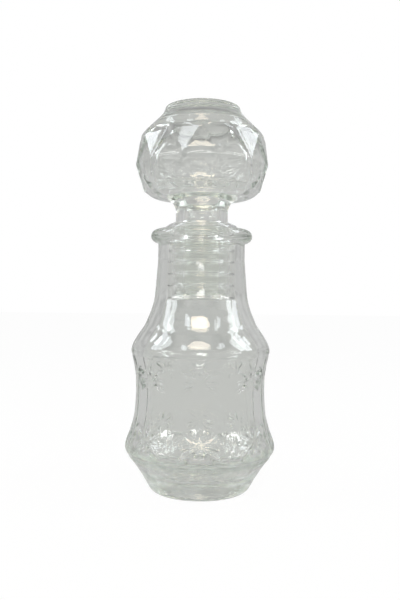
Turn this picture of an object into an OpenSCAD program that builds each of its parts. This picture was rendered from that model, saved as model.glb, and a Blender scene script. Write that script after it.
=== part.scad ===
// Small stoppered decanter of the kind sold as a genie bottle: a pressed clear
// glass body, a hollow faceted glass stopper and the finned plastic seal between
// them. Everything stands at its closed position; the body's axis is Z and the
// foot ring stands on Z = 0.

/* [Body] */
// Radius at the lower bulge, the widest place
body_r = 28.85; // [22:0.05:36]
// Height of the lower bulge
bulge_z = 16.7; // [13:0.1:21]
// Radius at the waist
waist_r = 24.8; // [19:0.05:30]
// Height of the waist over the lower bulge
waist_rise = 21.8; // [18:0.1:27]
// Radius at the upper bulge
shoulder_r = 26.75; // [21:0.05:33]
// Height of the upper bulge over the waist
shoulder_rise = 15; // [12:0.1:19]
// Radius of the heel, where the taper meets the foot ring
foot_r = 19.75; // [15:0.05:24]
// Glass thickness of the body wall
body_wall = 4.6; // [3.6:0.05:5.6]
// Glass thickness of the bottom
base_t = 5.6; // [4.6:0.1:7]
// Height of the hollow under the foot
push_up = 1.4; // [0.8:0.1:2.2]

/* [Neck] */
// Radius of the bore the seal stands in
bore_r = 13.15; // [10.9:0.05:16]
// Glass thickness of the neck
neck_wall = 3.65; // [3:0.05:4.4]
// Height of the sloping shoulder, from the upper bulge to the neck
slope_rise = 25.5; // [21:0.1:31]
// Length of the straight neck up to the top of the lip
neck_len = 20.8; // [17:0.05:26]
// Radius of the rounded bead round the lip
bead_r = 2.4; // [1.9:0.05:3]

/* [Stopper] */
// Facet corners round the head
facets = 12; // [8:1:16]
// Radius over the corners at the middle of the head
head_r = 26; // [21:0.05:32]
// Height of the middle of the head over the lip
head_z = 24.2; // [20:0.05:29]
// Height from the middle row of corners to the upper row
facet_rise = 10.3; // [8:0.1:12.5]
// Glass thickness of the hollow head
head_wall = 3.2; // [2.4:0.05:3.8]
// Glass thickness of the shank
shank_wall = 3.2; // [2.6:0.05:3.9]
// Turn of the stopper in its seal as stored, in degrees
stopper_turn = -2.8; // [-15:0.1:15]

/* [Seal] */
// Rings round the seal that wipe the bore
fins = 5; // [4:1:6]
// Distance from ring to ring
fin_pitch = 4.5; // [3.7:0.05:5.3]
// Thickness of a ring at its rim
fin_t = 0.7; // [0.5:0.05:1]
// Depth of the rings beyond the sleeve
fin_depth = 2; // [1.6:0.05:2.4]
// Wall thickness of the sleeve
sleeve_wall = 0.95; // [0.7:0.05:1.3]
// Width of the flange's seat on the lip, beyond the bore
flange_lap = 0.95; // [0.8:0.05:1.6]
// Height of the flange
flange_t = 2.65; // [2.1:0.05:3.2]

/* [Clearances] */
// Gap from the rings to the bore, on the radius
fin_gap = 0.05; // [0.03:0.01:0.12]
// Gap from the shank to the sleeve, on the radius
shank_gap = 0.05; // [0.03:0.01:0.12]
// Gap under the flange and under the shank
seat_gap = 0.05; // [0.03:0.01:0.1]

/* [Part] */
// Piece to build

/* [Hidden] */
$fn = 96;

waist_z = bulge_z + waist_rise;
shoulder_z = waist_z + shoulder_rise;
neck_z = shoulder_z + slope_rise;
neck_r = bore_r + neck_wall;
lip_z = neck_z + neck_len;
bead_c = [neck_r + 0.45, lip_z - bead_r];
flange_z = lip_z + seat_gap;
flange_r = bore_r + flange_lap;
seal_top = flange_z + flange_t;
fin_r = bore_r - fin_gap;
sleeve_r = fin_r - fin_depth;
shank_r = sleeve_r - sleeve_wall - shank_gap;
shank_bore_r = shank_r - shank_wall;
fin_top_z = lip_z - 9.2;
cup_z = fin_top_z - (fins - 1) * fin_pitch;
cup_floor = 1.0;
shank_z = cup_z + cup_floor + seat_gap;
belt_z = lip_z + head_z;
crown_z = belt_z + facet_rise + 12.9;

// A span of a profile: each station is [share of the height, share of the radius]
function span(a, b, st) =
  [for (s = st) [b[0] + (a[0] - b[0]) * s[1], a[1] + (b[1] - a[1]) * s[0]]];

// Smooth curve through the stations of a profile, n steps to a span
function bend(p, i, t) =
  let (a = p[max(i - 1, 0)], b = p[i], c = p[i + 1], d = p[min(i + 2, len(p) - 1)])
  0.5 * (2 * b + (c - a) * t + (2 * a - 5 * b + 4 * c - d) * t * t
    + (3 * b - a - 3 * c + d) * t * t * t);
function smooth(p, n) = concat(
  [for (i = [0 : len(p) - 2], k = [0 : n - 1]) bend(p, i, k / n)],
  [p[len(p) - 1]]);

// The same curve moved w to the left of its direction
function beside(p, w) = [for (i = [1 : len(p) - 2])
  let (d = p[i + 1] - p[i - 1], l = norm(d)) p[i] + w * [-d[1], d[0]] / l];

function ring(n, r, z, turn) =
  [for (i = [0 : n - 1]) [r * cos(turn + i * 360 / n), r * sin(turn + i * 360 / n), z]];

// Outline of the body wall from the heel up to the neck
foot = [foot_r, 1.5];
bulge = [body_r, bulge_z];
waist = [waist_r, waist_z];
hip = [shoulder_r, shoulder_z];
neck = [neck_r + 0.7, neck_z];
stations = concat(
  span(foot, bulge, [[0, 1], [0.15, 0.865], [0.3, 0.715], [0.46, 0.545], [0.62, 0.36],
    [0.76, 0.17], [0.88, 0.045]]),
  span(bulge, waist, [[0, 1], [0.106, 0.885], [0.261, 0.57], [0.417, 0.325],
    [0.573, 0.145], [0.787, 0.05]]),
  span(waist, hip, [[0, 1], [0.31, 0.9], [0.617, 0.59], [0.847, 0.18]]),
  span(hip, neck, [[0, 1], [0.09, 0.94], [0.18, 0.81], [0.27, 0.65], [0.36, 0.476],
    [0.453, 0.357], [0.59, 0.205], [0.77, 0.065], [1, 0]]));
wall_out = smooth(stations, 2);

floor_z = push_up + base_t;
wall_in = [for (p = beside(wall_out, body_wall))
  if (p[1] > floor_z + 3 && p[1] < neck_z - 9 && p[0] > bore_r + 1.2) p];
floor_edge = wall_in[0];

module bottle_shape() {
  difference() {
    polygon(concat(
      [[0, push_up], [foot_r - 5.2, push_up * 0.75], [foot_r - 3.5, 0.35],
        [foot_r - 2.75, 0], [foot_r - 1.75, 0], [foot_r - 1.15, 0.3],
        [foot_r - 0.5, 0.85]],
      wall_out,
      [[neck_r, neck_z + 9], [neck_r, lip_z - bead_r], [neck_r, lip_z],
        [0, lip_z]]));
    polygon(concat(
      [[-1, floor_z - 0.4], [floor_edge[0] * 0.5, floor_z],
        [floor_edge[0] * 0.82, floor_z + 0.9], [floor_edge[0] * 0.95, floor_z + 2.1]],
      wall_in,
      [[bore_r + 0.45, neck_z - 7], [bore_r, neck_z - 3], [bore_r, lip_z - 0.5],
        [bore_r + 0.3, lip_z + 0.01], [-1, lip_z + 0.01]]));
  }
}

// The lip's bead: a ring of round section let into the top of the neck
module bead_shape() {
  intersection() {
    translate(bead_c) circle(r = bead_r);
    translate([neck_r - bead_r * 0.5, 0]) square([3 * bead_r, lip_z + 1]);
  }
}

module bottle_blank() {
  rotate_extrude() union() {
    bottle_shape();
    bead_shape();
  }
}

module bottle() {
  color("#c9d2cc") bottle_blank();
}

// Faceted belt of the head: three rows of corners, each turned half a step
module head_belt() {
  top_r = head_r * 0.942;
  low_r = head_r * 0.869;
  hull() {
    polyhedron(
      points = concat(ring(facets, low_r, belt_z - 9.1, 0),
        ring(facets, head_r, belt_z, 180 / facets),
        ring(facets, top_r, belt_z + facet_rise, 0)),
      faces = concat(
        [[for (i = [facets - 1 : -1 : 0]) i]],
        [for (i = [0 : facets - 1]) [i, (i + 1) % facets, facets + i]],
        [for (i = [0 : facets - 1]) [(i + 1) % facets, facets + (i + 1) % facets,
          facets + i]],
        [for (i = [0 : facets - 1]) [facets + i, 2 * facets + (i + 1) % facets,
          2 * facets + i]],
        [for (i = [0 : facets - 1]) [facets + i, facets + (i + 1) % facets,
          2 * facets + (i + 1) % facets]],
        [[for (i = [0 : facets - 1]) 2 * facets + i]]));
    translate([0, 0, belt_z + facet_rise + 1.1])
      cylinder(r1 = head_r * 0.915, r2 = head_r * 0.885, h = 1.2, $fn = 8 * facets);
    translate([0, 0, belt_z - 10.3])
      cylinder(r = head_r * 0.808, h = 0.1, $fn = 8 * facets);
  }
}

// Cone, crown, underside and shank, all turned about the axis
module stopper_turned() {
  cone_z = belt_z + facet_rise + 2.2;
  cone_r = head_r * 0.884;
  crown_r = head_r * 0.577;
  under_z = belt_z - 10.25;
  rotate_extrude() polygon([
    [0, under_z + 2], [head_r * 0.806, under_z + 2], [head_r * 0.806, under_z],
    [head_r * 0.75, under_z - 0.8], [head_r * 0.673, under_z - 1.2],
    [head_r * 0.577, under_z - 1.6], [shank_r + 2.5, under_z - 2.4],
    [shank_r + 1.2, under_z - 3.4], [shank_r + 0.35, under_z - 5],
    [shank_r, under_z - 6.6], [shank_r, shank_z + 0.8], [shank_r - 0.8, shank_z],
    [0, shank_z]]);
  rotate_extrude() polygon([
    [0, cone_z - 0.9], [cone_r, cone_z - 0.9], [cone_r, cone_z + 0.1],
    [cone_r * 0.968, cone_z + 0.9], [cone_r * 0.848, cone_z + 3.6],
    [crown_r * 1.02, crown_z - 2.6], [crown_r, crown_z - 1.8],
    [crown_r * 0.983, crown_z - 0.6], [crown_r * 0.947, crown_z - 0.1],
    [crown_r * 0.88, crown_z], [0, crown_z]]);
}

// The hollow: blown head and open shank
module stopper_hollow() {
  w = head_wall;
  roof = crown_z - w - 0.6;
  cap_r = head_r * 0.871 - w * 1.15;
  rotate_extrude() polygon([
    [0, roof], [head_r * 0.44, roof - 0.4], [cap_r - 1.2, belt_z + facet_rise + 2.2],
    [cap_r, belt_z + facet_rise], [head_r * 0.935 - w, belt_z + facet_rise * 0.5],
    [head_r * 0.96 - w, belt_z], [head_r * 0.90 - w, belt_z - 5],
    [head_r * 0.80 - w, belt_z - 8.2], [head_r * 0.60 - w, belt_z - 9.6],
    [shank_bore_r + 1.2, belt_z - 10.4], [shank_bore_r, belt_z - 12],
    [shank_bore_r, shank_z - 1], [0, shank_z - 1]]);
}

module stopper() {
  color("#cfd8d2") rotate([0, 0, stopper_turn]) difference() {
    union() {
      head_belt();
      stopper_turned();
    }
    stopper_hollow();
  }
}

// Closed sleeve with its flange
module seal_sleeve() {
  inner = shank_r + shank_gap;
  rotate_extrude() polygon([
    [0, cup_z], [sleeve_r - 0.4, cup_z], [sleeve_r, cup_z + 0.4],
    [sleeve_r, flange_z], [flange_r - 0.3, flange_z], [flange_r, flange_z + 0.3],
    [flange_r - 0.1, flange_z + 0.9], [flange_r - 0.7, flange_z + 1.6],
    [flange_r - 1.7, flange_z + 2.2], [inner + 1, seal_top - 0.1],
    [inner + 0.6, seal_top], [inner + 0.3, seal_top], [inner, seal_top - 0.3],
    [inner, cup_z + cup_floor], [0, cup_z + cup_floor]]);
}

module seal_fin() {
  rotate_extrude() polygon([
    [sleeve_r - 0.2, 0], [fin_r - 0.25, fin_t * 0.25], [fin_r, fin_t * 0.5],
    [fin_r, fin_t * 0.85], [fin_r - 0.25, fin_t * 1.1], [sleeve_r - 0.2, fin_t * 1.7]]);
}

module seal() {
  color("#e4e8e4") union() {
    seal_sleeve();
    for (i = [0 : fins - 1])
      translate([0, 0, cup_z + 0.3 + i * fin_pitch]) seal_fin();
  }
}

bottle();
stopper();
seal();
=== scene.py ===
"""Small stoppered decanter: the finish of its three pieces and the studio it stands in.

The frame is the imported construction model, in metres. The bottle, the stopper and the
seal are rebuilt here on the same sizes, with the pressed pattern, the soft facet edges
and the glass that the construction model leaves out.
"""

import math

import bmesh
import bpy
import numpy as np
from bpy.props import FloatProperty, IntProperty, PointerProperty, StringProperty
from mathutils import Matrix, Vector


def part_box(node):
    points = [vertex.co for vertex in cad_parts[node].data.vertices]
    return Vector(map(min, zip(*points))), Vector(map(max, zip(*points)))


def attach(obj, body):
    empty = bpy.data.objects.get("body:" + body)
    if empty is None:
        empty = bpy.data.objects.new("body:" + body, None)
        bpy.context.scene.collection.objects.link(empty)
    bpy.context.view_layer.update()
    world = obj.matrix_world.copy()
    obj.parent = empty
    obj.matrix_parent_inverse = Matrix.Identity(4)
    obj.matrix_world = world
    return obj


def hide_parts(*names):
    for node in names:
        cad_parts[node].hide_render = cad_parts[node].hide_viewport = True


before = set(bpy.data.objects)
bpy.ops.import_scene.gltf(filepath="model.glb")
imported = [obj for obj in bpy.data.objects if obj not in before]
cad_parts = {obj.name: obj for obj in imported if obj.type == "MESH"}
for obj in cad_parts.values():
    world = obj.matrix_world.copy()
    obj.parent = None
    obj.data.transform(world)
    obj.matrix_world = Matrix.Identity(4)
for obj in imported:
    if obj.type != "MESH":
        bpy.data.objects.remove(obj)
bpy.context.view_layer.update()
LIP_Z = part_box("bottle")[1].z
TOP_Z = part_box("stopper")[1].z
MM = 0.001
# left between pieces that press on each other in the real object
GAP = 0.05 * MM
# heights in millimetres of the milled ring under the stars and the ridge over them
MILLED_RING, HIP_RIDGE = 14.1, 51.9

bl_info = {
    "name": "Stoppered decanter",
    "version": (1, 0, 0),
    "blender": (4, 5, 0),
    "location": "3D View > Sidebar > Decanter",
    "description": "Pressed glass decanter with a faceted stopper in a finned seal",
    "category": "Add Mesh",
}


# ---- sizes and colours that a user would change ----

class BottleSizes(bpy.types.PropertyGroup):
    """Sizes of the pressed glass body"""
    body_r: FloatProperty(name="Lower bulge radius", default=28.85 * MM, unit="LENGTH",
                          description="Radius at the lower bulge, the widest place")
    bulge_z: FloatProperty(name="Lower bulge height", default=16.7 * MM, unit="LENGTH",
                           description="Height of the lower bulge over the table")
    waist_r: FloatProperty(name="Waist radius", default=24.8 * MM, unit="LENGTH",
                           description="Radius at the waist")
    waist_z: FloatProperty(name="Waist height", default=38.5 * MM, unit="LENGTH",
                           description="Height of the waist over the table")
    hip_r: FloatProperty(name="Upper bulge radius", default=26.75 * MM, unit="LENGTH",
                         description="Radius at the upper bulge")
    hip_z: FloatProperty(name="Upper bulge height", default=53.5 * MM, unit="LENGTH",
                         description="Height of the upper bulge over the table")
    foot_r: FloatProperty(name="Heel radius", default=19.75 * MM, unit="LENGTH",
                          description="Radius where the taper meets the foot ring")
    wall: FloatProperty(name="Wall", default=4.6 * MM, unit="LENGTH",
                        description="Glass thickness of the body wall")
    push_up: FloatProperty(name="Push-up", default=1.4 * MM, unit="LENGTH",
                           description="Height of the hollow under the foot")
    base: FloatProperty(name="Bottom", default=5.6 * MM, unit="LENGTH",
                        description="Glass thickness of the bottom")
    bore_r: FloatProperty(name="Bore radius", default=13.15 * MM, unit="LENGTH",
                          description="Radius of the bore the seal stands in")
    neck_r: FloatProperty(name="Neck radius", default=16.8 * MM, unit="LENGTH",
                          description="Outside radius of the neck")
    neck_z: FloatProperty(name="Neck start", default=79 * MM, unit="LENGTH",
                          description="Height where the shoulder runs out into the neck")
    lip_z: FloatProperty(name="Lip height", default=LIP_Z, unit="LENGTH",
                         description="Height of the top of the lip")
    bead_r: FloatProperty(name="Bead radius", default=2.4 * MM, unit="LENGTH",
                          description="Section radius of the bead round the lip")
    panels: IntProperty(name="Panels", default=8, min=3,
                        description="Pressed panels round the body")
    columns: IntProperty(name="Columns", default=40, min=8,
                         description="Mesh columns across one panel")


class StopperSizes(bpy.types.PropertyGroup):
    """Sizes of the hollow glass stopper"""
    facets: IntProperty(name="Facets", default=12, min=6,
                        description="Facet corners round the head")
    head_r: FloatProperty(name="Head radius", default=26 * MM, unit="LENGTH",
                          description="Radius over the corners of the middle row")
    belt_z: FloatProperty(name="Belt height", default=TOP_Z - 23.2 * MM, unit="LENGTH",
                          description="Height of the middle row of corners")
    upper_share: FloatProperty(name="Upper row", default=0.942, subtype="FACTOR",
                               description="Radius over the upper row of corners, as a "
                                           "share of the head radius")
    lower_share: FloatProperty(name="Lower row", default=0.869, subtype="FACTOR",
                               description="Radius over the lower row of corners, as a "
                                           "share of the head radius")
    facet_rise: FloatProperty(name="Facet rise", default=10.3 * MM, unit="LENGTH",
                              description="Height from the middle row to the upper row")
    lower_fall: FloatProperty(name="Facet fall", default=9.1 * MM, unit="LENGTH",
                              description="Height from the middle row to the lower row")
    edge: FloatProperty(name="Edge round", default=0.07 * MM, unit="LENGTH",
                        description="How deep the facet edges are melted round")
    columns: IntProperty(name="Columns", default=40, min=8,
                         description="Mesh columns from one facet corner to the next")
    wall: FloatProperty(name="Wall", default=3.2 * MM, unit="LENGTH",
                        description="Glass thickness of the hollow head")
    shank_r: FloatProperty(name="Shank radius", default=10.1 * MM, unit="LENGTH",
                           description="Outside radius of the shank")
    shank_bore_r: FloatProperty(name="Shank bore", default=6.9 * MM, unit="LENGTH",
                                description="Inside radius of the open shank")
    turn: FloatProperty(name="Turn", default=math.radians(-1.5), unit="ROTATION",
                        description="Turn of the stopper in its seal")


class SealSizes(bpy.types.PropertyGroup):
    """Sizes of the moulded seal"""
    fins: IntProperty(name="Rings", default=5, min=1,
                      description="Rings round the seal that wipe the bore")
    pitch: FloatProperty(name="Pitch", default=4.5 * MM, unit="LENGTH",
                         description="Distance from ring to ring")
    drop: FloatProperty(name="Ring depth", default=9.2 * MM, unit="LENGTH",
                        description="Depth of the highest ring under the lip")
    fin_t: FloatProperty(name="Ring thickness", default=0.7 * MM, unit="LENGTH",
                         description="Thickness of a ring at its rim")
    fin_r: FloatProperty(name="Ring radius", default=13.1 * MM, unit="LENGTH",
                         description="Outside radius of the rings")
    sleeve_r: FloatProperty(name="Sleeve radius", default=11.1 * MM, unit="LENGTH",
                            description="Outside radius of the sleeve")
    inner_r: FloatProperty(name="Sleeve bore", default=10.15 * MM, unit="LENGTH",
                           description="Inside radius of the sleeve")
    flange_r: FloatProperty(name="Flange radius", default=14.1 * MM, unit="LENGTH",
                            description="Radius of the flange on the lip")
    flange_t: FloatProperty(name="Flange height", default=2.65 * MM, unit="LENGTH",
                            description="Height of the flange")
    floor: FloatProperty(name="Floor", default=1.0 * MM, unit="LENGTH",
                         description="Thickness of the closed lower end")
    columns: IntProperty(name="Columns", default=128, min=16,
                         description="Mesh columns round the seal")


class FinishSettings(bpy.types.PropertyGroup):
    """Colours and clarity of the glass and the plastic"""
    glass_colour: StringProperty(name="Glass colour", default="#FDFEFC",
                                 description="Colour that each skin of the glass lets in")
    glass_depth: StringProperty(name="Glass depth colour", default="#B7C8B5",
                                description="Colour the thick glass tends to")
    glass_density: FloatProperty(name="Glass density", default=6.5, min=0,
                                 description="Absorption per metre of glass")
    seal_colour: StringProperty(name="Seal colour", default="#FEFEFE",
                                description="Colour of the clear polyethylene")


# ---- small helpers ----

def linear(code):
    """An sRGB hex code as a linear colour with full alpha"""
    parts = [int(code[i:i + 2], 16) / 255 for i in (1, 3, 5)]
    return [c / 12.92 if c <= 0.04045 else ((c + 0.055) / 1.055) ** 2.4
            for c in parts] + [1.0]


def add(tree, kind, settings=None, sockets=None):
    """Adds one node with its settings; a socket takes a value or another node's output"""
    made = tree.nodes.new(kind)
    for key, value in (settings or {}).items():
        setattr(made, key, value)
    for key, value in (sockets or {}).items():
        if isinstance(value, bpy.types.NodeSocket):
            tree.links.new(value, made.inputs[key])
        else:
            made.inputs[key].default_value = value
    return made


def span(a, b, stations):
    """Points from a to b; each station is (share of the height, share of the radius)"""
    return [(b[0] + (a[0] - b[0]) * f, a[1] + (b[1] - a[1]) * t) for t, f in stations]


def smooth(points, steps):
    """Smooth curve through the points, with so many steps to a span"""
    p = np.array(points, float)
    out = []
    for i in range(len(p) - 1):
        a, b = p[max(i - 1, 0)], p[i]
        c, d = p[i + 1], p[min(i + 2, len(p) - 1)]
        for k in range(steps):
            t = k / steps
            out.append(0.5 * (2 * b + (c - a) * t + (2 * a - 5 * b + 4 * c - d) * t * t
                              + (3 * b - a - 3 * c + d) * t ** 3))
    return np.array(out + [p[-1]])


def beside(points, width):
    """The inner points of a curve, moved to the left of its direction"""
    p = np.array(points, float)
    d = p[2:] - p[:-2]
    d /= np.linalg.norm(d, axis=1)[:, None]
    return p[1:-1] + width * np.stack([-d[:, 1], d[:, 0]], 1)


def respace(points, step_at):
    """Points along the same line, a chosen step apart; step_at gets a point"""
    p = np.array(points, float)
    at = np.concatenate([[0], np.cumsum(np.linalg.norm(np.diff(p, axis=0), axis=1))])
    out, s = [], 0.0
    while s < at[-1]:
        here = np.array([np.interp(s, at, p[:, 0]), np.interp(s, at, p[:, 1])])
        out.append(here)
        s += step_at(here)
    if len(out) > 1 and np.linalg.norm(out[-1] - p[-1]) < 0.3 * step_at(p[-1]):
        out.pop()
    return np.array(out + [p[-1]])


def outward(points):
    """Unit normals to the right of a line's direction, the outside of a turned wall"""
    d = np.gradient(np.array(points, float), axis=0)
    d /= np.maximum(np.linalg.norm(d, axis=1), 1e-12)[:, None]
    return np.stack([d[:, 1], -d[:, 0]], 1)


def sheet(r, z, angle):
    """Vertices and faces of a grid with a radius and a height for each row and angle"""
    verts = np.stack([r * np.cos(angle), r * np.sin(angle), z], -1).reshape(-1, 3)
    rows, columns = r.shape
    i, j = np.meshgrid(np.arange(rows - 1), np.arange(columns - 1), indexing="ij")
    a = (i * columns + j).ravel()
    return verts, np.stack([a, a + 1, a + columns + 1, a + columns], 1)


def turned(profile, start, stop, columns, depth=None):
    """Vertices and faces of a profile turned from start to stop, in radians.
    depth gives how far each vertex is pressed in, as rows by columns."""
    profile = np.array(profile, float)
    angle = np.linspace(start, stop, columns + 1)
    r = np.repeat(profile[:, :1], columns + 1, 1)
    z = np.repeat(profile[:, 1:], columns + 1, 1)
    if depth is not None:
        n = outward(profile)
        r = r - depth * n[:, :1]
        z = z - depth * n[:, 1:]
    return sheet(r, z, angle)


def mesh_of(name, verts, faces):
    """A smooth-shaded mesh, with the doubled vertices at poles and seams merged"""
    mesh = bpy.data.meshes.new(name)
    mesh.from_pydata([tuple(v) for v in verts], [], [tuple(f) for f in faces])
    tidy(mesh)
    return mesh


def tidy(mesh, merge=2e-7, outwards=False):
    """Merges vertices nearer than merge, drops faces without area and shades smooth"""
    bm = bmesh.new()
    bm.from_mesh(mesh)
    bmesh.ops.remove_doubles(bm, verts=bm.verts, dist=merge)
    bmesh.ops.dissolve_degenerate(bm, edges=bm.edges, dist=merge)
    if outwards:
        bmesh.ops.recalc_face_normals(bm, faces=bm.faces)
    for face in bm.faces:
        face.smooth = True
    bm.to_mesh(mesh)
    bm.free()


def copies_tree():
    """Geometry Nodes: copies of a section, each turned and raised from the last"""
    tree = bpy.data.node_groups.new("Copies of a section", "GeometryNodeTree")
    face = tree.interface
    face.new_socket("Section", in_out="INPUT", socket_type="NodeSocketGeometry")
    face.new_socket("Copies", in_out="INPUT", socket_type="NodeSocketInt")
    face.new_socket("Turn", in_out="INPUT", socket_type="NodeSocketFloat")
    face.new_socket("Rise", in_out="INPUT", socket_type="NodeSocketFloat")
    face.new_socket("Material", in_out="INPUT", socket_type="NodeSocketMaterial")
    face.new_socket("Piece", in_out="OUTPUT", socket_type="NodeSocketGeometry")
    given = add(tree, "NodeGroupInput").outputs
    step = add(tree, "ShaderNodeCombineXYZ", sockets={"Z": given["Rise"]})
    line = add(tree, "GeometryNodeMeshLine", {"mode": "OFFSET"},
               {"Count": given["Copies"], "Offset": step.outputs[0]})
    index = add(tree, "GeometryNodeInputIndex")
    turn = add(tree, "ShaderNodeMath", {"operation": "MULTIPLY"},
               {0: index.outputs[0], 1: given["Turn"]})
    angle = add(tree, "ShaderNodeCombineXYZ", sockets={"Z": turn.outputs[0]})
    placed = add(tree, "GeometryNodeInstanceOnPoints",
                 sockets={"Points": line.outputs[0], "Instance": given["Section"],
                          "Rotation": angle.outputs[0]})
    real = add(tree, "GeometryNodeRealizeInstances",
               sockets={"Geometry": placed.outputs[0]})
    done = add(tree, "GeometryNodeSetMaterial",
               sockets={"Geometry": real.outputs[0], "Material": given["Material"]})
    add(tree, "NodeGroupOutput", sockets={"Piece": done.outputs[0]})
    return tree


def repeated(section, copies, turn, rise, material):
    """The plain mesh of a section repeated by the Geometry Nodes tree"""
    tree = bpy.data.node_groups.get("Copies of a section") or copies_tree()
    holder = bpy.data.objects.new(section.name, section)
    bpy.context.scene.collection.objects.link(holder)
    change = holder.modifiers.new("Copies", "NODES")
    change.node_group = tree
    values = {"Copies": copies, "Turn": turn, "Rise": rise, "Material": material}
    for socket in tree.interface.items_tree:
        if socket.in_out == "INPUT" and socket.name in values:
            change[socket.identifier] = values[socket.name]
    graph = bpy.context.evaluated_depsgraph_get()
    mesh = bpy.data.meshes.new_from_object(holder.evaluated_get(graph), depsgraph=graph)
    bpy.data.objects.remove(holder)
    # the section had no material, and its empty slot comes first
    mesh.materials.clear()
    mesh.materials.append(material)
    mesh.polygons.foreach_set("material_index", [0] * len(mesh.polygons))
    return mesh


def piece(name, mesh, body):
    """Links a finished piece, and lets it ride on its body in place of the CAD node"""
    made = bpy.data.objects.new(name, mesh)
    bpy.context.scene.collection.objects.link(made)
    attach(made, body)
    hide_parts(body)


# ---- materials ----

def soda_lime_glass(name, finish, mottled):
    """Pressed or blown soda-lime glass: a bright fire-polished skin over slightly wavy
    walls, and a depth that turns grey-green wherever the eye looks along the glass"""
    made = bpy.data.materials.new(name)
    made.use_nodes = True
    tree = made.node_tree
    tree.nodes.clear()
    place = add(tree, "ShaderNodeTexCoord").outputs["Object"]
    # slow waves of the chilled skin, about 5 mm long
    wave = add(tree, "ShaderNodeTexNoise",
               sockets={"Vector": place, "Scale": 190.0, "Detail": 1.0, "Roughness": 0.4})
    height = wave.outputs["Fac"]
    if mottled:
        xyz = add(tree, "ShaderNodeSeparateXYZ", sockets={0: place})
        # shear marks from the mould on the taper under the pattern, 1 to 2 mm long
        marks = add(tree, "ShaderNodeTexNoise",
                    sockets={"Vector": place, "Scale": 420.0, "Detail": 2.0,
                             "Roughness": 0.55})
        taper = add(tree, "ShaderNodeMapRange",
                    sockets={"Value": xyz.outputs["Z"], "From Min": 13.5 * MM,
                             "From Max": 11.5 * MM, "To Min": 0.15, "To Max": 2.6})
        rough = add(tree, "ShaderNodeMath", {"operation": "MULTIPLY"},
                    {0: marks.outputs["Fac"], 1: taper.outputs[0]})
        # the milled ring under the stars, 192 ribs about 0.9 mm apart
        angle = add(tree, "ShaderNodeMath", {"operation": "ARCTAN2"},
                    {0: xyz.outputs["Y"], 1: xyz.outputs["X"]})
        beat = add(tree, "ShaderNodeMath", {"operation": "MULTIPLY"},
                   {0: angle.outputs[0], 1: 192.0})
        rib = add(tree, "ShaderNodeMath", {"operation": "COSINE"}, {0: beat.outputs[0]})
        off = add(tree, "ShaderNodeMath", {"operation": "SUBTRACT"},
                  {0: xyz.outputs["Z"], 1: MILLED_RING * MM})
        near = add(tree, "ShaderNodeMath", {"operation": "ABSOLUTE"}, {0: off.outputs[0]})
        band = add(tree, "ShaderNodeMapRange",
                   sockets={"Value": near.outputs[0], "From Min": 1.2 * MM,
                            "From Max": 0.7 * MM, "To Min": 0.0, "To Max": 1.2})
        ribs = add(tree, "ShaderNodeMath", {"operation": "MULTIPLY"},
                   {0: rib.outputs[0], 1: band.outputs[0]})
        both = add(tree, "ShaderNodeMath", {"operation": "ADD"},
                   {0: rough.outputs[0], 1: ribs.outputs[0]})
        height = add(tree, "ShaderNodeMath", {"operation": "ADD"},
                     {0: both.outputs[0], 1: wave.outputs["Fac"]}).outputs[0]
    # a skin chilled in the press is wavier than a blown and fire-polished one
    skin = add(tree, "ShaderNodeBump",
               sockets={"Strength": 0.8 if mottled else 0.12, "Distance": 0.12 * MM,
                        "Height": height})
    shell = add(tree, "ShaderNodeBsdfPrincipled",
                sockets={"Base Color": linear(finish.glass_colour), "Roughness": 0.03,
                         "IOR": 1.52, "Transmission Weight": 1.0,
                         "Normal": skin.outputs[0]})
    depth = add(tree, "ShaderNodeVolumeAbsorption",
                sockets={"Color": linear(finish.glass_depth),
                         "Density": finish.glass_density})
    add(tree, "ShaderNodeOutputMaterial",
        sockets={"Surface": shell.outputs[0], "Volume": depth.outputs[0]})
    return made


def moulded_polyethylene(name, finish):
    """Clear low-density polyethylene from a polished mould: glossy and faintly wavy"""
    made = bpy.data.materials.new(name)
    made.use_nodes = True
    tree = made.node_tree
    tree.nodes.clear()
    place = add(tree, "ShaderNodeTexCoord").outputs["Object"]
    # faint flow waves of the moulding, about 3 mm long
    flow = add(tree, "ShaderNodeTexNoise",
               sockets={"Vector": place, "Scale": 330.0, "Detail": 2.0})
    skin = add(tree, "ShaderNodeBump",
               sockets={"Strength": 0.3, "Distance": 0.1 * MM,
                        "Height": flow.outputs["Fac"]})
    satin = add(tree, "ShaderNodeMapRange",
                sockets={"Value": flow.outputs["Fac"], "To Min": 0.03, "To Max": 0.07})
    shell = add(tree, "ShaderNodeBsdfPrincipled",
                sockets={"Base Color": linear(finish.seal_colour), "IOR": 1.51,
                         "Roughness": satin.outputs[0], "Transmission Weight": 1.0,
                         "Normal": skin.outputs[0]})
    add(tree, "ShaderNodeOutputMaterial", sockets={"Surface": shell.outputs[0]})
    return made


# ---- the bottle ----

# leaves of one pressed panel: angle and height of both ends, half width and depth;
# angles in degrees from the panel's middle, the rest in millimetres
LEAVES = [
    # upper star
    (2.0, 43.3, 15.6, 39.4, 0.85, 0.7), (2.6, 43.6, 15.2, 42.9, 0.7, 0.62),
    (2.2, 44.2, 16.2, 47.4, 0.8, 0.68), (0.0, 44.4, 0.0, 47.2, 0.75, 0.6),
    # lower star
    (1.4, 21.9, 16.2, 15.9, 1.3, 0.68), (3.0, 22.2, 15.4, 20.8, 1.0, 0.52),
    (2.4, 22.9, 13.4, 26.2, 1.0, 0.52), (0.0, 23.2, 0.0, 27.8, 1.05, 0.52),
    (0.0, 20.8, 0.0, 18.2, 0.75, 0.38), (17.2, 24.6, 17.2, 20.2, 0.85, 0.42),
]


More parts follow.
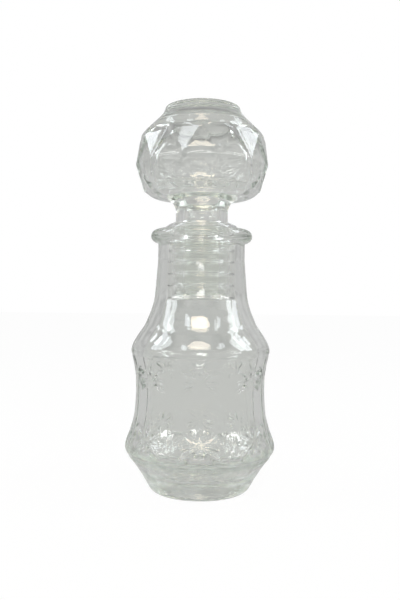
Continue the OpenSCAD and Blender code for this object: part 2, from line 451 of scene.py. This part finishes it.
def leaf_depth(angle, height, radius, leaf):
    """Depth of one leaf over the panel, in millimetres: deepest in its middle, V-shaped
    across, and rounded by 0.1 mm along its bottom and by 0.04 mm at its rim"""
    a0, z0, a1, z1, half, deep = leaf
    u = np.radians(angle - (a0 + a1) / 2) * radius
    v = height - (z0 + z1) / 2
    du, dv = np.radians(a1 - a0) * radius, z1 - z0
    length = np.hypot(du, dv)
    along = (u * du + v * dv) / length / (length / 2)
    across = np.sqrt(((-u * dv + v * du) / length) ** 2 + 0.1 ** 2) - 0.1
    cut = deep * (1 - along ** 2) - across * deep / half
    return 0.5 * (cut + np.sqrt(cut ** 2 + 0.04 ** 2))


def pressed_depth(angle, height, radius, half_panel):
    """Depth of the pressed pattern at angles from a panel's middle; angles in degrees,
    the rest in millimetres"""
    depth = np.zeros_like(height + angle)
    # a leaf beside the middle has its mirror image on the other side
    for leaf in LEAVES:
        sides = (1,) if leaf[0] == leaf[2] == 0 else (1, -1)
        for side in sides:
            depth = np.maximum(depth, leaf_depth(side * angle, height, radius, leaf))
    # fine split line between two panels, which fades out before the ring and the ridge
    edge = np.radians(half_panel - np.abs(angle)) * radius
    inside = np.clip((height - 16.5) / 1.5, 0, 1) * np.clip((51.5 - height) / 1.0, 0, 1)
    depth = np.maximum(depth, (0.22 - 0.6 * edge) * inside)
    for at, half, deep in ((MILLED_RING, 0.95, 0.55), (HIP_RIDGE, 0.6, 0.22)):
        depth = np.maximum(depth, deep * (1 - np.abs(height - at) / half))
    return depth


def bottle_profiles(size):
    """The outline of the glass: up the outside to the lip, and down the inside"""
    heel = (size.foot_r, 1.5 * MM)
    bulge = (size.body_r, size.bulge_z)
    waist = (size.waist_r, size.waist_z)
    hip = (size.hip_r, size.hip_z)
    run_out = (size.neck_r + 0.7 * MM, size.neck_z)
    stations = (
        span(heel, bulge, [(0, 1), (0.15, 0.865), (0.3, 0.715), (0.46, 0.545),
                           (0.62, 0.36), (0.76, 0.17), (0.88, 0.045)])
        + span(bulge, waist, [(0, 1), (0.106, 0.885), (0.261, 0.57), (0.417, 0.325),
                              (0.573, 0.145), (0.787, 0.05)])
        + span(waist, hip, [(0, 1), (0.31, 0.9), (0.617, 0.59), (0.847, 0.18)])
        + span(hip, run_out, [(0, 1), (0.09, 0.94), (0.18, 0.81), (0.27, 0.65),
                              (0.36, 0.476), (0.453, 0.357), (0.59, 0.205),
                              (0.77, 0.065), (1, 0)]))
    wall = smooth(stations, 8)
    foot, hollow = size.foot_r, size.push_up
    under = smooth([(0, hollow), (foot * 0.4, hollow * 0.95),
                    (foot - 5.2 * MM, hollow * 0.75), (foot - 3.5 * MM, 0.35 * MM),
                    (foot - 2.75 * MM, 0), (foot - 1.75 * MM, 0),
                    (foot - 1.15 * MM, 0.25 * MM), (foot - 0.5 * MM, 0.8 * MM), heel], 4)
    under[:, 1] = np.maximum(under[:, 1], 0)
    neck, bead, bore, top = size.neck_r, size.bead_r, size.bore_r, size.lip_z
    low = top - 2 * bead
    fillet = [(neck, size.neck_z + 9 * MM), (neck, low - 0.6 * MM),
              (neck + 0.05 * MM, low - 0.25 * MM), (neck + 0.2 * MM, low - 0.02 * MM)]
    arc = [(neck + 0.45 * MM + bead * math.sin(math.radians(a)),
            top - bead - bead * math.cos(math.radians(a))) for a in range(10, 181, 6)]
    mouth = [(neck - 1 * MM, top), (bore + 0.7 * MM, top),
             (bore + 0.35 * MM, top - 0.06 * MM), (bore + 0.12 * MM, top - 0.2 * MM),
             (bore + 0.02 * MM, top - 0.5 * MM), (bore, top - 0.9 * MM)]
    outside = np.concatenate([under[:-1], wall, fillet, arc, mouth])
    floor = hollow + size.base
    # the cavity follows the wall between the bottom and the shoulder
    inner = [p for p in beside(smooth(stations, 2), size.wall)
             if floor + 3 * MM < p[1] < size.neck_z - 9 * MM and p[0] > bore + 1.2 * MM]
    edge = inner[0][0]
    inside = smooth([(bore, size.neck_z + 2 * MM), (bore, size.neck_z - 3 * MM),
                     (bore + 0.45 * MM, size.neck_z - 7 * MM)] + inner[::-1]
                    + [(edge * 0.95, floor + 2.1 * MM), (edge * 0.82, floor + 0.9 * MM),
                       (edge * 0.5, floor), (edge * 0.25, floor - 0.3 * MM),
                       (0, floor - 0.4 * MM)], 4)
    return outside, inside


class DECANTER_OT_bottle(bpy.types.Operator):
    """Builds the pressed glass bottle from one panel, repeated round the axis"""
    bl_idname = "decanter.bottle"
    bl_label = "Pressed glass bottle"

    def execute(self, context):
        size, finish = context.scene.decanter_bottle, context.scene.decanter_finish
        outside, inside = bottle_profiles(size)

        def step(point):
            """Fine rows over the pattern, coarse ones elsewhere"""
            patterned = 12.5 * MM < point[1] < 54 * MM and point[0] > 15 * MM
            return 0.45 * MM if patterned else 1.0 * MM

        outside = respace(outside, step)
        inside = respace(inside, lambda point: 1.3 * MM)
        half = math.pi / size.panels
        degrees = math.degrees(half) * np.linspace(-1, 1, size.columns + 1)[None, :]
        radius, height = outside[:, :1] / MM, outside[:, 1:] / MM
        press = pressed_depth(degrees, height, radius, math.degrees(half)) * MM
        press[(height[:, 0] < 12) | (height[:, 0] > 54)] = 0
        depth = np.concatenate([press, np.zeros((len(inside), size.columns + 1))])
        front = -math.pi / 2
        verts, faces = turned(np.concatenate([outside, inside]), front - half,
                              front + half, size.columns, depth)
        section = mesh_of("bottle_panel", verts, faces)
        glass = soda_lime_glass("Pressed soda-lime glass", finish, True)
        mesh = repeated(section, size.panels, 2 * half, 0.0, glass)
        tidy(mesh, 1e-6)
        piece("pressed_glass_bottle", mesh, "bottle")
        return {"FINISHED"}


# ---- the stopper ----

def belt_radius(size, angle, height, melt):
    """Radius of the pressed belt at rows of heights and columns of angles: the planes
    through its three rings of corners, melted round where they meet"""
    step = 2 * math.pi / size.facets
    h, z = size.head_r, size.belt_z
    high, low = z + size.facet_rise, z - size.lower_fall

    def corner(r, at, turn):
        """A corner at a radius and a height, so many steps round from the front"""
        a = size.turn - math.pi / 2 + turn * step
        return np.array([r * math.cos(a), r * math.sin(a), at])

    planes = []
    for k in range(size.facets):
        left, right = corner(h, z, k - 0.5), corner(h, z, k + 0.5)
        for rim, at in ((h * size.upper_share, high), (h * size.lower_share, low)):
            here, after = corner(rim, at, k), corner(rim, at, k + 1)
            for a, b, c in ((here, left, right), (right, here, after)):
                n = np.cross(b - a, c - a)
                n *= math.copysign(1, n[:2] @ a[:2])
                # the radius at which a spoke at this angle and height meets the plane
                face = n[0] * np.cos(angle) + n[1] * np.sin(angle)
                reach = (n @ a - n[2] * height) / np.where(face > 0, face, 1)
                planes.append(np.where(face > 0, reach, np.inf))
    # the nearest plane counts, and the ones just behind it round the edge off
    planes = np.array(planes)
    least = planes.min(0)
    return least - melt * np.log(np.exp((least - planes) / melt).sum(0))


def stopper_profiles(size, sill):
    """Turned parts of the stopper over and under the facets, and the shank's end at the
    height of the sill with the hollow above it"""
    h, z = size.head_r, size.belt_z
    shank, bore = size.shank_r, size.shank_bore_r
    cone, crown, top = z + size.facet_rise + 1.1 * MM, h * 0.577, TOP_Z
    over = [(h * 0.915, cone), (h * 0.9, cone + 0.7 * MM), (h * 0.884, cone + 1.25 * MM),
            (h * 0.855, cone + 2.1 * MM), (h * 0.749, cone + 4.8 * MM),
            (h * 0.66, cone + 7.1 * MM), (crown + 0.7 * MM, top - 3.05 * MM),
            (crown + 0.25 * MM, top - 2.4 * MM), (crown, top - 1.7 * MM),
            (crown - 0.15 * MM, top - 0.9 * MM), (crown - 0.4 * MM, top - 0.35 * MM),
            (crown - 0.9 * MM, top - 0.08 * MM), (crown - 1.7 * MM, top),
            (crown * 0.6, top - 0.03 * MM), (crown * 0.3, top - 0.03 * MM),
            (0, top - 0.03 * MM)]
    low = z - size.lower_fall - 1.15 * MM
    under = smooth([(h * 0.806, low), (h * 0.75, low - 0.8 * MM),
                    (h * 0.673, low - 1.2 * MM), (h * 0.577, low - 1.6 * MM),
                    (shank + 2.5 * MM, low - 2.4 * MM),
                    (shank + 1.2 * MM, low - 3.4 * MM), (shank + 0.35 * MM, low - 5 * MM),
                    (shank, low - 6.6 * MM), (shank, low - 9 * MM)], 4)
    end = [(shank, z - 30 * MM), (shank, sill + 0.9 * MM),
           (shank - 0.25 * MM, sill + 0.3 * MM), (shank - 0.9 * MM, sill),
           (bore + 0.9 * MM, sill), (bore + 0.25 * MM, sill + 0.3 * MM),
           (bore, sill + 0.9 * MM)]
    w, roof = size.wall, top - size.wall - 0.6 * MM
    cap, high = h * 0.871 - w * 1.15, z + size.facet_rise
    hollow = smooth([(bore, z - 16 * MM), (bore, z - 12 * MM),
                     (bore + 1.2 * MM, z - 10.4 * MM), (h * 0.60 - w, z - 9.6 * MM),
                     (h * 0.80 - w, z - 8.2 * MM), (h * 0.90 - w, z - 5 * MM),
                     (h * 0.96 - w, z), (h * 0.935 - w, z + size.facet_rise * 0.5),
                     (cap, high), (cap - 1.2 * MM, high + 2.2 * MM),
                     (h * 0.62, roof - 3.4 * MM), (h * 0.44, roof - 0.6 * MM),
                     (h * 0.22, roof - 0.05 * MM), (0, roof)], 4)
    return over, under, np.concatenate([end, hollow])


class DECANTER_OT_stopper(bpy.types.Operator):
    """Builds the hollow faceted stopper from one facet step, repeated round the axis"""
    bl_idname = "decanter.stopper"
    bl_label = "Hollow faceted stopper"

    def execute(self, context):
        size, finish = context.scene.decanter_stopper, context.scene.decanter_finish
        seal = context.scene.decanter_seal
        step = 2 * math.pi / size.facets
        start = size.turn - math.pi / 2
        angle = np.linspace(start, start + step, size.columns + 1)[None, :]
        over, under, inside = stopper_profiles(size, cup_height(seal) + seal.floor + GAP)
        # rows are finer where the cone rounds into the facets
        edge = over[0][1] + 2 * MM
        over = respace(over, lambda p: (0.4 if p[1] < edge else 1.1) * MM)[::-1]
        under = respace(under, lambda p: 1.0 * MM)
        inside = respace(inside, lambda p: 1.6 * MM)
        high, low = size.belt_z + size.facet_rise, size.belt_z - size.lower_fall
        rows = np.linspace(high, low, 1 + round((high - low) / (0.34 * MM)))[:, None]
        belt = belt_radius(size, angle, rows, size.edge)
        # the air blown in pressed the wall to the mould, so the hollow echoes the facets;
        # the echo fades out over 2 mm above and below the belt
        at = inside[:, 1:]
        echo = belt_radius(size, angle, np.clip(at, low, high), 4 * size.edge)
        echo = echo / echo.mean(1, keepdims=True) - 1
        near = (np.clip((at - low) / (2 * MM) + 1, 0, 1)
                * np.clip((high - at) / (2 * MM) + 1, 0, 1))
        flat = np.ones_like(angle)
        r = np.concatenate([over[:, :1] * flat, belt, under[:, :1] * flat,
                            inside[:, :1] * (1 + echo * near)])
        z = np.concatenate([over[:, 1:], rows, under[:, 1:], at]) * flat
        section = mesh_of("stopper_step", *sheet(r, z, angle))
        glass = soda_lime_glass("Blown soda-lime glass", finish, False)
        mesh = repeated(section, size.facets, step, 0.0, glass)
        tidy(mesh, 2e-6, outwards=True)
        piece("hollow_faceted_stopper", mesh, "stopper")
        return {"FINISHED"}


# ---- the seal ----

def cup_height(size):
    """Height of the seal's closed lower end over the table"""
    return LIP_Z - size.drop - (size.fins - 1) * size.pitch


def seal_profiles(size):
    """The lowest ring with the sleeve up to the next, the flange and the bore from over
    the rings, and the closed end under them"""
    cup, seat = cup_height(size), LIP_Z + GAP
    first, top = cup + 0.3 * MM, seat + size.flange_t
    sleeve, rim, t = size.sleeve_r, size.fin_r, size.fin_t
    ring = [(sleeve, 0), (sleeve + 0.12 * MM, 0.08 * MM), (rim - 0.25 * MM, t * 0.25),
            (rim - 0.06 * MM, t * 0.34), (rim, t * 0.5), (rim, t * 0.85),
            (rim - 0.06 * MM, t * 1.0), (rim - 0.25 * MM, t * 1.1),
            (sleeve + 0.3 * MM, t * 1.5), (sleeve + 0.08 * MM, t * 1.65)]
    ring += [(sleeve, z) for z in np.linspace(t * 2.0, size.pitch, 5)]
    ring = [(r, first + z) for r, z in ring]
    edge, bore = size.flange_r, size.inner_r
    flange = [(sleeve, first + size.fins * size.pitch), (sleeve, seat - 0.5 * MM),
              (sleeve + 0.12 * MM, seat - 0.12 * MM), (sleeve + 0.5 * MM, seat),
              (edge - 0.3 * MM, seat), (edge - 0.06 * MM, seat + 0.1 * MM),
              (edge, seat + 0.35 * MM), (edge - 0.1 * MM, seat + 0.9 * MM),
              (edge - 0.35 * MM, seat + 1.3 * MM), (edge - 0.75 * MM, seat + 1.65 * MM),
              (edge - 1.7 * MM, seat + 2.15 * MM), (edge - 2.5 * MM, seat + 2.5 * MM),
              (bore + 1.0 * MM, top - 0.08 * MM), (bore + 0.6 * MM, top),
              (bore + 0.3 * MM, top - 0.02 * MM), (bore + 0.08 * MM, top - 0.15 * MM),
              (bore, top - 0.4 * MM)]
    floor = cup + size.floor
    inside = [(bore, z) for z in np.linspace(top - 1.4 * MM, floor + 0.6 * MM, 24)]
    inside += [(bore, floor + 0.3 * MM), (bore - 0.1 * MM, floor + 0.06 * MM),
               (bore - 0.35 * MM, floor), (bore * 0.6, floor), (0, floor)]
    below = [(0, cup), (sleeve * 0.6, cup), (sleeve - 0.4 * MM, cup),
             (sleeve - 0.08 * MM, cup + 0.1 * MM), (sleeve, first)]
    return ring, flange + inside, below


class DECANTER_OT_seal(bpy.types.Operator):
    """Builds the moulded seal: a closed sleeve with a flange and repeated rings"""
    bl_idname = "decanter.seal"
    bl_label = "Finned seal"

    def execute(self, context):
        size, finish = context.scene.decanter_seal, context.scene.decanter_finish
        ring, above, below = seal_profiles(size)
        whole = 2 * math.pi
        section = mesh_of("seal_ring", *turned(ring, 0, whole, size.columns))
        plastic = moulded_polyethylene("Clear moulded polyethylene", finish)
        mesh = repeated(section, size.fins, 0.0, size.pitch, plastic)
        bm = bmesh.new()
        bm.from_mesh(mesh)
        for line in (above, below):
            part = mesh_of("seal_part", *turned(line, 0, whole, size.columns))
            bm.from_mesh(part)
            bpy.data.meshes.remove(part)
        bm.to_mesh(mesh)
        bm.free()
        tidy(mesh, 2e-6, outwards=True)
        piece("finned_seal", mesh, "seal")
        return {"FINISHED"}


# ---- the studio ----

def seen_as(tree, plain, inner, camera):
    """A level that depends on how it is seen: plain where it only lights, inner through
    glass and in a gloss, camera where it is looked at"""
    ray = add(tree, "ShaderNodeLightPath").outputs
    through = add(tree, "ShaderNodeMath", {"operation": "MAXIMUM"},
                  {0: ray["Is Transmission Ray"], 1: ray["Is Glossy Ray"]})
    low = add(tree, "ShaderNodeMix", {"data_type": "FLOAT"},
              {"Factor": through.outputs[0], "A": plain, "B": inner})
    return add(tree, "ShaderNodeMix", {"data_type": "FLOAT"},
               {"Factor": ray["Is Camera Ray"], "A": low.outputs[0],
                "B": camera}).outputs[0]


def studio_paper(name):
    """Matt white paper under the decanter: white where the camera looks at it, in the
    paper's own light grey through glass and in a gloss, and with its shadow kept"""
    made = bpy.data.materials.new(name)
    made.use_nodes = True
    tree = made.node_tree
    tree.nodes.clear()
    paper = add(tree, "ShaderNodeBsdfDiffuse", sockets={"Color": linear("#F4F4F2")})
    glow = add(tree, "ShaderNodeEmission",
               sockets={"Color": (1, 1, 1, 1), "Strength": seen_as(tree, 0.0, 0.55, 1.0)})
    mixed = add(tree, "ShaderNodeMixShader",
                sockets={0: seen_as(tree, 0.0, 0.9, 0.97), 1: paper.outputs[0],
                         2: glow.outputs[0]})
    add(tree, "ShaderNodeOutputMaterial", sockets={"Surface": mixed.outputs[0]})
    return made


def studio_tent(world):
    """The pale cloth tent round the table, seen in the glass: its soft folds, its darker
    roof, the low windows beside the camera and the opening the camera looks through"""
    world.use_nodes = True
    tree = world.node_tree
    tree.nodes.clear()
    toward = add(tree, "ShaderNodeTexCoord").outputs["Generated"]
    xyz = add(tree, "ShaderNodeSeparateXYZ", sockets={0: toward})

    front = add(tree, "ShaderNodeVectorMath", {"operation": "DOT_PRODUCT"},
                {0: toward, 1: (0, -0.985, -0.17)})
    folds = add(tree, "ShaderNodeTexNoise",
                sockets={"Vector": toward, "Scale": 4.5, "Detail": 2.0,
                         "Roughness": 0.55})
    # window panes beside each other, spaced by the bearing from the camera's side
    back = add(tree, "ShaderNodeMath", {"operation": "MULTIPLY"},
               {0: xyz.outputs["Y"], 1: -1.0})
    bearing = add(tree, "ShaderNodeMath", {"operation": "ARCTAN2"},
                  {0: xyz.outputs["X"], 1: back.outputs[0]})
    beat = add(tree, "ShaderNodeMath", {"operation": "MULTIPLY_ADD"},
               {0: bearing.outputs[0], 1: 5.7, 2: 0.3})
    pane = add(tree, "ShaderNodeMath", {"operation": "COSINE"}, {0: beat.outputs[0]})

    # cloth and windows are products of soft steps: what is measured, where the step
    # starts and stops, and the levels before and after it. The opening ends 10 to 18
    # degrees from its middle, and the windows are 12 to 15 degrees over the horizon
    up, behind = xyz.outputs["Z"], xyz.outputs["Y"]
    cloth = [(front.outputs["Value"], 0.95, 0.985, 1.0, 0.55),
             (folds.outputs["Fac"], 0.3, 0.7, 0.43, 0.66), (up, 0.3, 0.8, 1.0, 0.6)]
    window = [(up, 0.205, 0.22, 0.0, 1.0), (up, 0.245, 0.26, 11.0, 0.0),
              (pane.outputs[0], 0.3, 0.7, 0.0, 1.0), (behind, -0.3, -0.15, 1.0, 0.0)]
    level = 0.0
    for steps in (cloth, window):
        product = 1.0
        for value, start, stop, first, last in steps:
            step = add(tree, "ShaderNodeMapRange", {"interpolation_type": "SMOOTHSTEP"},
                       {"Value": value, "From Min": start, "From Max": stop,
                        "To Min": first, "To Max": last})
            product = add(tree, "ShaderNodeMath", {"operation": "MULTIPLY"},
                          {0: step.outputs[0], 1: product}).outputs[0]
        level = add(tree, "ShaderNodeMath", {"operation": "ADD"},
                    {0: product, 1: level}).outputs[0]
    sky = add(tree, "ShaderNodeBackground",
              sockets={"Color": (1, 1, 1, 1),
                       "Strength": seen_as(tree, 0.4, level, 1.0)})
    add(tree, "ShaderNodeOutputWorld", sockets={"Surface": sky.outputs[0]})


def lamp(name, place, target, size, radiance, colour, shape="RECTANGLE"):
    """A soft flat lamp; radiance is what its face shows in a mirror"""
    light = bpy.data.lights.new(name, "AREA")
    light.shape = shape
    light.size, light.size_y = size
    light.energy = radiance * math.pi * size[0] * size[1]
    light.color = linear(colour)[:3]
    made = bpy.data.objects.new(name, light)
    bpy.context.scene.collection.objects.link(made)
    made.location = place
    toward = Vector(target) - Vector(place)
    made.rotation_euler = toward.to_track_quat("-Z", "Y").to_euler()


class DECANTER_OT_stage(bpy.types.Operator):
    """Lays the pale floor and sets the lamps, the world and the camera"""
    bl_idname = "decanter.stage"
    bl_label = "Studio and camera"

    def execute(self, context):
        scene = context.scene
        scene.view_settings.view_transform = "Standard"
        # six metres square, and a hair under the foot so that the faces don't meet
        corners = [(x, y, -0.03 * MM) for x, y in ((-3, -3), (3, -3), (3, 3), (-3, 3))]
        floor_mesh = bpy.data.meshes.new("floor")
        floor_mesh.from_pydata(corners, [], [(0, 1, 2, 3)])
        floor = bpy.data.objects.new("floor", floor_mesh)
        scene.collection.objects.link(floor)
        floor_mesh.materials.append(studio_paper("Matt white paper"))

        world = bpy.data.worlds.new("Studio")
        scene.world = world
        studio_tent(world)
        # thick pressed glass turns light round many times before it lets it go
        scene.cycles.max_bounces = 32
        scene.cycles.transmission_bounces = 32
        scene.cycles.glossy_bounces = 24
        scene.cycles.transparent_max_bounces = 24

        aim, cool, warm = (0, 0, 0.08), "#F4FAFF", "#FFF0DC"
        lamp("left_softbox", (-0.52, -0.05, 0.40), aim, (0.15, 0.36), 7.0, cool)
        lamp("right_softbox", (0.52, -0.02, 0.39), aim, (0.15, 0.36), 7.0, cool)
        # small cards and windows for single bright facets and the shoulder's small lights
        lamp("left_card", (-0.276, -0.406, 0.508), aim, (0.078, 0.12), 7.0, cool)
        lamp("right_card", (0.32, -0.33, 0.52), aim, (0.08, 0.12), 6.0, cool)
        lamp("left_window", (-0.505, 0.155, 0.42), aim, (0.07, 0.10), 7.0, cool)
        lamp("right_window", (0.519, 0.104, 0.42), aim, (0.075, 0.11), 7.0, cool)
        lamp("front_lamp", (-0.02, -0.42, 0.53), aim, (0.38, 0.19), 7.0, warm, "ELLIPSE")

        # 24 cm in front, level with the shoulder, and leaning as in the photograph
        camera = bpy.data.objects.new("camera", bpy.data.cameras.new("camera"))
        scene.collection.objects.link(camera)
        camera.data.lens = 37.2
        camera.data.sensor_width = 36
        camera.data.clip_start = 0.005
        upright = Matrix.Rotation(math.radians(90), 4, "X")
        lean = Matrix.Rotation(math.radians(0.57), 4, "Z")
        camera.location = (-0.0004, -0.2418, 0.0728)
        camera.rotation_euler = (upright @ lean).to_euler()
        scene.camera = camera
        return {"FINISHED"}


# ---- add-on parts ----

class DECANTER_PT_panel(bpy.types.Panel):
    """Lists the decanter's pieces and sizes in the sidebar"""
    bl_label = "Decanter"
    bl_idname = "DECANTER_PT_panel"
    bl_space_type = "VIEW_3D"
    bl_region_type = "UI"
    bl_category = "Decanter"

    def draw(self, context):
        layout = self.layout
        for group, operator in GROUPS:
            box = layout.box()
            if group:
                for name in getattr(context.scene, group).__annotations__:
                    box.prop(getattr(context.scene, group), name)
            if operator:
                box.operator(operator)


# what the panel lists: the settings of a piece and the operator that builds it
GROUPS = [("decanter_bottle", "decanter.bottle"),
          ("decanter_stopper", "decanter.stopper"), ("decanter_seal", "decanter.seal"),
          ("decanter_finish", None), (None, "decanter.stage")]
SETTINGS = {"decanter_bottle": BottleSizes, "decanter_stopper": StopperSizes,
            "decanter_seal": SealSizes, "decanter_finish": FinishSettings}
CLASSES = [*SETTINGS.values(), DECANTER_OT_bottle, DECANTER_OT_stopper, DECANTER_OT_seal,
           DECANTER_OT_stage, DECANTER_PT_panel]


def register():
    """Registers the classes and hangs the settings on the scene"""
    for cls in CLASSES:
        bpy.utils.register_class(cls)
    for name, cls in SETTINGS.items():
        setattr(bpy.types.Scene, name, PointerProperty(type=cls))


def unregister():
    """Takes the settings and the classes away again"""
    for name in SETTINGS:
        delattr(bpy.types.Scene, name)
    for cls in reversed(CLASSES):
        bpy.utils.unregister_class(cls)


def main():
    """Builds everything in order"""
    register()
    bpy.ops.decanter.stage()
    bpy.ops.decanter.bottle()
    bpy.ops.decanter.stopper()
    bpy.ops.decanter.seal()


if __name__ == "__main__":
    main()
